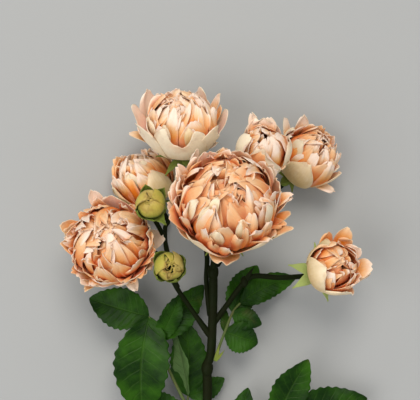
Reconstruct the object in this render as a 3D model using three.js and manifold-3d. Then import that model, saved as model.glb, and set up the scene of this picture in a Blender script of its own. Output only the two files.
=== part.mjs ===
// A cut spray rose lying on its back: seven open or opening blooms and two buds on one branched stem,
// with four compound leaves. Millimetres, +X across the spray, +Y from the cut end to the blooms, +Z up.
// Places are measured from the point on the ground under the middle of the cut end. At the end the
// whole spray is moved so that its origin is the middle of the bottom of its bounding box.

import * as THREE from 'three'
import { mergeVertices } from 'three/addons/utils/BufferGeometryUtils.js'
import Module from 'manifold-3d'

const wasm = await Module()
wasm.setup()

// ---------------------------------------------------------------- driving dimensions

const STEM_RADIUS = 2.5
const BRANCH_RADIUS = 1.4
const PETIOLE_RADIUS = 0.8
const NODE_STRETCH = 1.25
const CUT_SLANT = 0.6

const LEAF_THICKNESS = 0.5
const TOOTH_DEPTH = 0.07
const PETAL_THICKNESS = 0.6
const SEPAL_THICKNESS = 0.6

const GAP = 0.3
const LAYER_SPACING = 2
const TUCK = 0.75
const FLOWER_FLATTENING = 0.92
const PETAL_ROOT_LATITUDE = -78

const HIP_LENGTH = 6.0
const HIP_CLEARANCE = 4.4

// ---------------------------------------------------------------- the spray's layout

// Each bloom: where its heart is, the way it looks, the radius of its heart, and its guard petals.
// A guard petal is given by the direction it stands in (degrees round the bloom, 0 to the right and
// 90 away from the cut end), its half width, how far up the heart it reaches (degrees of latitude),
// how far its lip rolls out (mm) and the layer it lies in. The route is that of the bloom's own stalk.
const blooms = [
  {
    name: 'centre', heart: [15, 238, 68], facing: [0.05, 0.5, 0.87], radius: 24, hip: 3.4, sepal: 15,
    guards: [
      { at: 20, half: 42, reach: 26, flare: 2, layer: 0 },
      { at: 92, half: 42, reach: 30, flare: 1.5, layer: 0 },
      { at: 164, half: 42, reach: 22, flare: 2, layer: 0 },
      { at: 236, half: 42, reach: 12, flare: 2, layer: 0 },
      { at: 308, half: 42, reach: 16, flare: 3, layer: 0 },
      { at: 268, half: 20, reach: 4, flare: 4, layer: 1 },
      { at: 335, half: 17, reach: 14, flare: 5, layer: 1 },
      { at: 126, half: 15, reach: 30, flare: 4, layer: 1 },
    ],
    route: [[8, 203, 23], [9, 211, 28]], thickness: 1.7,
  },
  {
    name: 'top', heart: [-8, 278, 38], facing: [0, 0.8, 0.6], radius: 17.5, hip: 3, sepal: 13,
    guards: [
      { at: 270, half: 44, reach: 30, flare: 1, layer: 0 },
      { at: 342, half: 42, reach: 26, flare: 1, layer: 0 },
      { at: 54, half: 42, reach: 20, flare: 1, layer: 0 },
      { at: 126, half: 42, reach: 24, flare: 2, layer: 0 },
      { at: 198, half: 42, reach: 26, flare: 2, layer: 0 },
      { at: 145, half: 20, reach: 34, flare: 4, layer: 1 },
    ],
    route: [[6.5, 180, 19], [4.5, 198, 19], [4.5, 214, 18], [-2, 240, 17]], thickness: 1.3,
  },
  {
    name: 'left', heart: [-44, 218, 36], facing: [-0.2, 0.25, 0.95], radius: 19, hip: 3, sepal: 13,
    guards: [
      { at: 12, half: 42, reach: 22, flare: 1, layer: 0 },
      { at: 84, half: 42, reach: 26, flare: 2, layer: 0 },
      { at: 156, half: 42, reach: 14, flare: 2, layer: 0 },
      { at: 228, half: 42, reach: 8, flare: 2, layer: 0 },
      { at: 300, half: 42, reach: 18, flare: 2, layer: 0 },
      { at: 325, half: 18, reach: 16, flare: 3, layer: 1 },
    ],
    route: [[-14, 206, 29], [-22, 213, 19], [-30, 212, 9]], thickness: 1.2,
  },
  {
    name: 'rear', heart: [-28, 251, 14.5], facing: [-0.45, 0.8, 0.35], radius: 13, hip: 2.8, sepal: 6,
    guards: [
      { at: 32, half: 50, reach: 24, flare: 1, layer: 0 },
      { at: 120, half: 52, reach: 26, flare: 1, layer: 0 },
      { at: 210, half: 52, reach: 20, flare: 1.5, layer: 0 },
      { at: 300, half: 52, reach: 16, flare: 1, layer: 0 },
    ],
    route: [[-11, 197, 26], [-16, 213, 14], [-17, 225, 7]], thickness: 1.2,
  },
  {
    name: 'upper_right', heart: [33, 265, 45], facing: [0.05, 0.6, 0.8], radius: 11, hip: 2.8, sepal: 10,
    guards: [
      { at: 270, half: 52, reach: 46, flare: 0.5, layer: 0 },
      { at: 0, half: 52, reach: 34, flare: 2, layer: 0 },
      { at: 90, half: 52, reach: 40, flare: 1, layer: 0 },
      { at: 180, half: 52, reach: 44, flare: 1, layer: 0 },
    ],
    route: [[8, 202, 22], [14, 222, 18], [25, 241, 18]], thickness: 1.2,
  },
  {
    name: 'far_right', heart: [57, 262, 17.5], facing: [0.55, 0.6, 0.58], radius: 14, hip: 2.8, sepal: 6,
    guards: [
      { at: 340, half: 52, reach: 20, flare: 1.5, layer: 0 },
      { at: 70, half: 52, reach: 24, flare: 1, layer: 0 },
      { at: 160, half: 52, reach: 26, flare: 1, layer: 0 },
      { at: 250, half: 52, reach: 22, flare: 1, layer: 0 },
    ],
    route: [[10, 206, 21], [18, 220, 14], [30, 235, 9]], thickness: 1.2,
  },
  {
    name: 'lower_right', heart: [69, 206, 38], facing: [0.5, 0.2, 0.84], radius: 12, hip: 2.8, sepal: 17,
    guards: [
      { at: 352, half: 32, reach: 18, flare: 5, layer: 0 },
      { at: 64, half: 44, reach: 24, flare: 2, layer: 0 },
      { at: 136, half: 44, reach: 34, flare: 1, layer: 0 },
      { at: 208, half: 44, reach: 34, flare: 0.5, layer: 0 },
      { at: 280, half: 44, reach: 26, flare: 1, layer: 0 },
    ],
    route: [[8, 176, 18], [15, 186, 21], [24, 198, 22], [30, 201, 22], [42, 200, 19]], thickness: 1.4,
  },
]

const buds = [
  {
    name: 'upper_bud', heart: [-23, 238, 54], facing: [0, 0.3, 0.95], radius: 7, hip: 2.4,
    route: [[-14, 207, 29], [-17, 221, 33]], thickness: 1.2,
  },
  {
    name: 'lower_bud', heart: [-14, 207, 51], facing: [0.1, 0, 0.99], radius: 7, hip: 2.4,
    route: [[-10, 195, 26], [-14, 203, 29]], thickness: 1.2,
  },
]

const trunkRoute = [[0, 0, 3], [1, 45, 4], [3, 100, 8], [5, 137, 12], [5, 154, 15], [7, 162, 17], [8, 190, 21], [8, 206, 24]]
const leftBranchRoute = [[6.5, 170, 18], [-4, 185, 22], [-12, 198, 27], [-15, 210, 30]]
const stemNodes = [
  { at: [5, 153, 15], radius: 3.1 },
  { at: [8, 203, 23.5], radius: 3 },
  { at: [24, 198, 22], radius: 2 },
]
const bract = { tip: [30, 207, 25], half: 1.8, roll: 0, arch: 0.5, fold: 0.2 }

// Each compound leaf: the route of its petiole and midrib, and its leaflets. A leaflet grows from the
// route's point "on" and runs to its tip. It is rolled about that line (degrees), arched up along it
// and folded up along its midrib.
const leaves = [
  {
    name: 'leaf_left', color: 0x2c4a1c,
    route: [[0.5, 123, 10], [-8, 138, 13], [-16, 155, 15], [-20, 168, 17], [-25, 180, 18]],
    leaflets: [
      { on: 4, tip: [-56, 189, 15], half: 9, roll: 8, arch: 2, fold: 0.15 },
      { on: 4, tip: [-28, 127, 18], half: 14, roll: -6, arch: 5, fold: 0.12 },
      { on: 3, tip: [-9, 191, 19], half: 6, roll: 14, arch: 1.5, fold: 0.2 },
      { on: 3, tip: [3, 196, 13], half: 8.5, roll: -10, arch: 0, fold: 0.1 },
      { on: 2, tip: [-40, 161, 8], half: 7, roll: 6, arch: 1, fold: 0.15 },
    ],
  },
  {
    name: 'leaf_low', color: 0x1c3312,
    route: [[-0.7, 103, 7], [-4, 114, 7], [-6, 126, 7.5], [-5, 138, 8]],
    leaflets: [
      { on: 3, tip: [-6, 177, 8], half: 10, roll: 6, arch: 0.5, fold: 0.1 },
      { on: 3, tip: [-12, 173, 12], half: 5, roll: -42, arch: 0.5, fold: 0.35 },
      { on: 3, tip: [14, 147, 6], half: 6, roll: 0, arch: 0, fold: 0.1 },
      { on: 2, tip: [-27, 141, 6], half: 8, roll: -8, arch: 1.5, fold: 0.15 },
      { on: 1, tip: [-32, 110, 2], half: 9, roll: 8, arch: 3, fold: 0.15 },
    ],
  },
  {
    name: 'leaf_middle', color: 0x35562a,
    route: [[8.8, 157, 18.4], [11, 164, 19.5], [14, 172, 20], [18, 182, 19.5], [22, 187, 19]],
    leaflets: [
      { on: 4, tip: [51, 200, 12], half: 7, roll: -8, arch: -1, fold: 0.1 },
      { on: 3, tip: [31, 206, 12], half: 9, roll: 8, arch: -1, fold: 0.1 },
      { on: 3, tip: [33, 176, 20], half: 6, roll: 10, arch: 1, fold: 0.15 },
      { on: 2, tip: [31, 166, 18], half: 8.5, roll: -6, arch: 1.5, fold: 0.15 },
      { on: 2, tip: [14, 184, 14], half: 2.5, roll: 0, arch: 0, fold: 0.1 },
    ],
  },
  {
    name: 'leaf_right', color: 0x24401a,
    route: [[6.6, 97, 9], [18, 109, 12], [32, 120, 15], [40, 125, 16], [46, 128, 17]],
    leaflets: [
      { on: 4, tip: [88, 137, 12], half: 10.5, roll: -8, arch: 2, fold: 0.12 },
      { on: 3, tip: [57, 158, 19], half: 10, roll: 12, arch: 2, fold: 0.2 },
      { on: 2, tip: [60, 100, 5], half: 10, roll: 8, arch: 3, fold: 0.15 },
      { on: 1, tip: [26, 143, 15], half: 8, roll: -8, arch: 1.5, fold: 0.12 },
      { on: 1, tip: [38, 86, 4], half: 8.5, roll: 8, arch: 3, fold: 0.15 },
    ],
  },
]

// ---------------------------------------------------------------- materials

const color = {
  stem: 0x3a3f18,
  petal: 0xd9a878,
  guard: 0xd6b48a,
  budPetal: 0xc9b455,
  calyx: 0x7c8038,
}

function matte(hex, roughness) {
  return new THREE.MeshStandardMaterial({ color: hex, roughness, metalness: 0 })
}

// ---------------------------------------------------------------- geometry helpers

const radians = THREE.MathUtils.degToRad
const vector = ([x, y, z]) => new THREE.Vector3(x, y, z)

function asSolid(geometry) {
  const bare = geometry.clone()
  bare.deleteAttribute('normal')
  bare.deleteAttribute('uv')
  const merged = mergeVertices(bare, 1e-4)
  const index = merged.index.array
  const triangles = []
  for (let i = 0; i < index.length; i += 3) {
    const [a, b, c] = index.slice(i, i + 3)
    if (a !== b && b !== c && c !== a) triangles.push(a, b, c)
  }
  const vertProperties = Float32Array.from(merged.attributes.position.array)
  const triVerts = Uint32Array.from(triangles)
  return new wasm.Manifold(new wasm.Mesh({ numProp: 3, vertProperties, triVerts }))
}

function asGeometry(solid) {
  const mesh = solid.getMesh()
  const geometry = new THREE.BufferGeometry()
  geometry.setAttribute('position', new THREE.BufferAttribute(mesh.vertProperties, 3))
  geometry.setIndex(new THREE.BufferAttribute(mesh.triVerts, 1))
  geometry.computeVertexNormals()
  return geometry
}

function joined(geometries) {
  return asGeometry(geometries.map(asSolid).reduce((whole, piece) => whole.add(piece)))
}

// A round rod of one thickness along a smooth line through the points.
function rod(points, radius, sides, stepLength) {
  const path = new THREE.CatmullRomCurve3(points.map(vector), false, 'centripetal')
  const section = new THREE.Shape()
  for (let i = 0; i < sides; i += 1) {
    const angle = (2 * Math.PI * i) / sides
    const corner = [radius * Math.cos(angle), radius * Math.sin(angle)]
    if (i === 0) section.moveTo(...corner)
    else section.lineTo(...corner)
  }
  section.closePath()
  const steps = Math.max(4, Math.round(path.getLength() / stepLength))
  return new THREE.ExtrudeGeometry(section, { steps, bevelEnabled: false, extrudePath: path })
}

// A thin closed sheet: place(across, along, depth) puts a point for across from -1 to 1,
// along from 0 to 1 and depth from -0.5 (inner face) to 0.5 (outer face).
function sheet(columns, rows, place) {
  const geometry = new THREE.BoxGeometry(2, 1, 1, columns, rows, 1)
  const position = geometry.attributes.position
  for (let i = 0; i < position.count; i += 1) {
    const point = place(position.getX(i), position.getY(i) + 0.5, position.getZ(i))
    position.setXYZ(i, point.x, point.y, point.z)
  }
  geometry.computeVertexNormals()
  return geometry
}

// ---------------------------------------------------------------- leaves

const LEAFLET_ROWS = 8

function leafletHalfWidth(half, along) {
  const outline = Math.sin(Math.PI * Math.min(1, along ** 0.85)) ** 0.7
  const row = Math.round(along * LEAFLET_ROWS)
  const tooth = row % 2 === 0 ? -TOOTH_DEPTH : TOOTH_DEPTH
  return half * Math.max(0.06, outline * (1 + tooth))
}

function leaflet(base, { tip, half, roll, arch, fold }) {
  const start = vector(base)
  const run = vector(tip).sub(start)
  const direction = run.clone().normalize()
  const upward = new THREE.Vector3(0, 0, 1).projectOnPlane(direction).normalize()
  const normal = upward.applyAxisAngle(direction, radians(roll))
  const side = direction.clone().cross(normal)
  return sheet(2, LEAFLET_ROWS, (across, along, depth) => {
    const width = leafletHalfWidth(half, along)
    const lift = 4 * arch * along * (1 - along) + fold * Math.abs(across) * width
    return start.clone()
      .addScaledVector(run, along)
      .addScaledVector(side, across * width)
      .addScaledVector(normal, lift + depth * LEAF_THICKNESS)
  })
}

function compoundLeaf({ name, color: hex, route, leaflets }) {
  const petiole = rod(route, PETIOLE_RADIUS, 6, 7)
  const blades = leaflets.map((blade) => leaflet(route[blade.on], blade))
  const mesh = new THREE.Mesh(joined([petiole, ...blades]), matte(hex, 0.55))
  mesh.name = name
  return mesh
}

// ---------------------------------------------------------------- flowers

// A flower's own frame: +Z is the way it looks, +X is as near as can be to the spray's +X.
function flowerFrame({ heart, facing }) {
  const forward = vector(facing).normalize()
  const right = new THREE.Vector3(1, 0, 0).projectOnPlane(forward).normalize()
  const away = forward.clone().cross(right)
  return new THREE.Matrix4().makeBasis(right, away, forward).setPosition(vector(heart))
}

function backOf(flower) {
  return flower.radius * FLOWER_FLATTENING + HIP_CLEARANCE
}

function turned(profile, sectors, waves, waveDepth) {
  const geometry = new THREE.LatheGeometry(profile.map(([r, z]) => new THREE.Vector2(r, z)), sectors)
  geometry.rotateX(Math.PI / 2)
  const position = geometry.attributes.position
  for (let i = 0; i < position.count; i += 1) {
    const [x, y, z] = [position.getX(i), position.getY(i), position.getZ(i)]
    const turn = Math.atan2(y, x)
    const swell = 1 - waveDepth * (0.5 - 0.5 * Math.cos(waves * turn + 0.35 * z))
    position.setXYZ(i, x * swell, y * swell, z)
  }
  geometry.computeVertexNormals()
  return geometry
}

// The close-packed inner petals as one ball, with a stepped rim for each whorl and a dished middle.
function bloomHeart(radius) {
  const high = radius * FLOWER_FLATTENING
  const outline = [
    [0, -0.98], [0.34, -0.92], [0.66, -0.73], [0.88, -0.44], [0.985, -0.08], [0.97, 0.2], [0.88, 0.42],
    [0.8, 0.4], [0.74, 0.6], [0.62, 0.56], [0.52, 0.72], [0.4, 0.6], [0.2, 0.62], [0, 0.5],
  ]
  return turned(outline.map(([r, z]) => [r * radius, z * high]), 15, 5, 0.06)
}

function budHeart(radius) {
  const outline = [
    [0, -0.98], [0.5, -0.84], [0.86, -0.48], [0.98, 0], [0.92, 0.4], [0.72, 0.8], [0.42, 1.08], [0.2, 1.16], [0, 1.08],
  ]
  return turned(outline.map(([r, z]) => [r * radius, z * radius * FLOWER_FLATTENING]), 12, 3, 0.05)
}

function petalHalfWidth(along) {
  return Math.sin(Math.PI * (0.12 + 0.8 * along)) ** 0.6
}

function guardPetal(radius, { at, half, reach, flare, layer }) {
  const nearest = radius + 3 * GAP + TUCK + layer * LAYER_SPACING
  return sheet(4, 4, (across, along, depth) => {
    const height = along * (1 - 0.1 * across * across)
    const latitude = radians(THREE.MathUtils.lerp(PETAL_ROOT_LATITUDE, reach, height))
    const azimuth = radians(at + half * petalHalfWidth(along) * across)
    const shell = nearest + TUCK * across + depth * PETAL_THICKNESS
    const rolled = flare * Math.max(0, (along - 0.5) / 0.5) ** 2
    const distance = shell * Math.cos(latitude) + rolled
    return new THREE.Vector3(
      distance * Math.cos(azimuth),
      distance * Math.sin(azimuth),
      shell * FLOWER_FLATTENING * Math.sin(latitude),
    )
  })
}

function hip({ hip: radius }, top) {
  const profile = [
    [0, top - HIP_LENGTH], [0.5, top - HIP_LENGTH], [0.85, top - 4.4], [1, top - 2.6], [0.9, top - 0.8], [0.8, top], [0, top],
  ]
  return turned(profile.map(([r, z]) => [r * radius, z]), 8, 5, 0)
}

function sepalHalfWidth(along, widest) {
  return Math.max(0.25, widest * Math.sin(Math.PI * (0.25 + 0.75 * along)) ** 1.2)
}

// Open blooms have their sepals bent back and out.
function reflexedSepal(length, top, turn) {
  return sheet(1, 4, (across, along, depth) => {
    const distance = 1.2 + length * along
    const width = sepalHalfWidth(along, 2.3) * across
    const drop = 0.6 + 2.6 * along * along + depth * SEPAL_THICKNESS
    return new THREE.Vector3(
      distance * Math.cos(turn) - width * Math.sin(turn),
      distance * Math.sin(turn) + width * Math.cos(turn),
      top - drop,
    )
  })
}

// A bud's sepals still hug its petals and stand a little clear of them.
function huggingSepal(radius, turn) {
  return sheet(1, 5, (across, along, depth) => {
    const latitude = radians(THREE.MathUtils.lerp(-84, 38, along))
    const shell = radius + 3.4 * GAP + depth * SEPAL_THICKNESS + 2.2 * Math.max(0, along - 0.7)
    const width = sepalHalfWidth(along, 2.7) * across
    const distance = shell * Math.cos(latitude)
    return new THREE.Vector3(
      distance * Math.cos(turn) - width * Math.sin(turn),
      distance * Math.sin(turn) + width * Math.cos(turn),
      shell * FLOWER_FLATTENING * Math.sin(latitude) * 1.05,
    )
  })
}

function sepalTurns() {
  return [0, 1, 2, 3, 4].map((i) => radians(18 + 72 * i))
}

function placed(name, geometry, frame, material) {
  const mesh = new THREE.Mesh(geometry, material)
  mesh.name = name
  mesh.applyMatrix4(frame)
  return mesh
}

function bloomMeshes(bloom) {
  const frame = flowerFrame(bloom)
  const top = -backOf(bloom)
  const calyx = joined([hip(bloom, top), ...sepalTurns().map((turn) => reflexedSepal(bloom.sepal, top, turn))])
  const guards = bloom.guards.map((petal, i) => placed(
    `${bloom.name}_guard_petal_${i + 1}`, guardPetal(bloom.radius, petal), frame, matte(color.guard, 0.75),
  ))
  return [
    placed(`${bloom.name}_bloom_heart`, bloomHeart(bloom.radius), frame, matte(color.petal, 0.8)),
    placed(`${bloom.name}_bloom_calyx`, calyx, frame, matte(color.calyx, 0.6)),
    ...guards,
  ]
}

function budMeshes(bud) {
  const frame = flowerFrame(bud)
  const top = -(bud.radius * FLOWER_FLATTENING + 2 * GAP)
  const calyx = joined([hip(bud, top), ...sepalTurns().map((turn) => huggingSepal(bud.radius, turn))])
  return [
    placed(`${bud.name}_petals`, budHeart(bud.radius), frame, matte(color.budPetal, 0.75)),
    placed(`${bud.name}_calyx`, calyx, frame, matte(color.calyx, 0.6)),
  ]
}

// ---------------------------------------------------------------- stem

// A flower stalk follows its route, then turns in under the hip along the way the flower looks.
function stalk(flower, back) {
  const forward = vector(flower.facing).normalize()
  const centre = vector(flower.heart)
  const end = centre.clone().addScaledVector(forward, -(back + HIP_LENGTH + GAP))
  const approach = end.clone().addScaledVector(forward, -5)
  return rod([...flower.route, approach.toArray(), end.toArray()], flower.thickness, 6, 6)
}

function swollenNode({ at, radius }) {
  return new THREE.SphereGeometry(radius, 8, 6).scale(1, NODE_STRETCH, 1).translate(...at)
}

function stem() {
  const pieces = [
    rod(trunkRoute, STEM_RADIUS, 8, 12),
    rod(leftBranchRoute, BRANCH_RADIUS, 6, 7),
    leaflet(stemNodes[2].at, bract),
    ...stemNodes.map(swollenNode),
    ...blooms.map((bloom) => stalk(bloom, backOf(bloom))),
    ...buds.map((bud) => stalk(bud, bud.radius * FLOWER_FLATTENING + 2 * GAP)),
  ]
  const whole = pieces.map(asSolid).reduce((sum, piece) => sum.add(piece))
  const cut = whole.trimByPlane([0, 1, CUT_SLANT], 2 + 3 * CUT_SLANT)
  const mesh = new THREE.Mesh(asGeometry(cut), matte(color.stem, 0.6))
  mesh.name = 'stem'
  return mesh
}

// ---------------------------------------------------------------- the whole spray

const group = new THREE.Group()
group.add(stem())
leaves.forEach((leaf) => group.add(compoundLeaf(leaf)))
blooms.forEach((bloom) => group.add(...bloomMeshes(bloom)))
buds.forEach((bud) => group.add(...budMeshes(bud)))

const box = new THREE.Box3().setFromObject(group, true)
const middle = box.getCenter(new THREE.Vector3())
group.position.set(-middle.x, -middle.y, -box.min.z)

export default group
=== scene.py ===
import math
import random

import bmesh
import bpy
from mathutils import Matrix, Vector, noise


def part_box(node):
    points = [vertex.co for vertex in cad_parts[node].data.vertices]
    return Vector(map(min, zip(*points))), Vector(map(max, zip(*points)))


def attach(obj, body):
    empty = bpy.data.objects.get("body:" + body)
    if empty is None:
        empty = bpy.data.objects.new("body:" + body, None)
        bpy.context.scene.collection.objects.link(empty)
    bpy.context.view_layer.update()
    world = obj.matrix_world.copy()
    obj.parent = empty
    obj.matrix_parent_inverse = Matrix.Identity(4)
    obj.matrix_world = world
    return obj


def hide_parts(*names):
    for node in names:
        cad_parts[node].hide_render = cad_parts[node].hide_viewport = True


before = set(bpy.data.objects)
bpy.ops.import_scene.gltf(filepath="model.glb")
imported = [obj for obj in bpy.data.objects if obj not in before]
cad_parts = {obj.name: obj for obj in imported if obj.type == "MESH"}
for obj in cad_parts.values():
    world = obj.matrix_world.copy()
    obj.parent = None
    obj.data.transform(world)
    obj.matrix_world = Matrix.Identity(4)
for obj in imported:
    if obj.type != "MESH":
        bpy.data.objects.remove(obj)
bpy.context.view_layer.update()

MM = 0.001
TAU = 2 * math.pi

# ---- sizes in millimetres

PETAL_THICKNESS = 0.32
GUARD_THICKNESS = 0.4
SEPAL_THICKNESS = 0.55
LEAF_THICKNESS = 0.35
STEM_RADIUS = 2.5
BRANCH_RADIUS = 1.9
PETIOLE_RADIUS = 0.75
HIP_LENGTH = 6.0
HIP_CLEARANCE = 4.4
BUD_HIP_CLEARANCE = 0.6
FLOOR_CLEARANCE = 0.3
SEAM_GAP = 0.002

# Height of a flower's ball as a share of its width, where the back pole of its CAD heart lies as a share of
# that height, and how far the cut end leans for each millimetre across the stem.
FLATTENING = 0.92
HEART_BACK = 0.98
CUT_SLANT = 0.6

# ---- the spray

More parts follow.
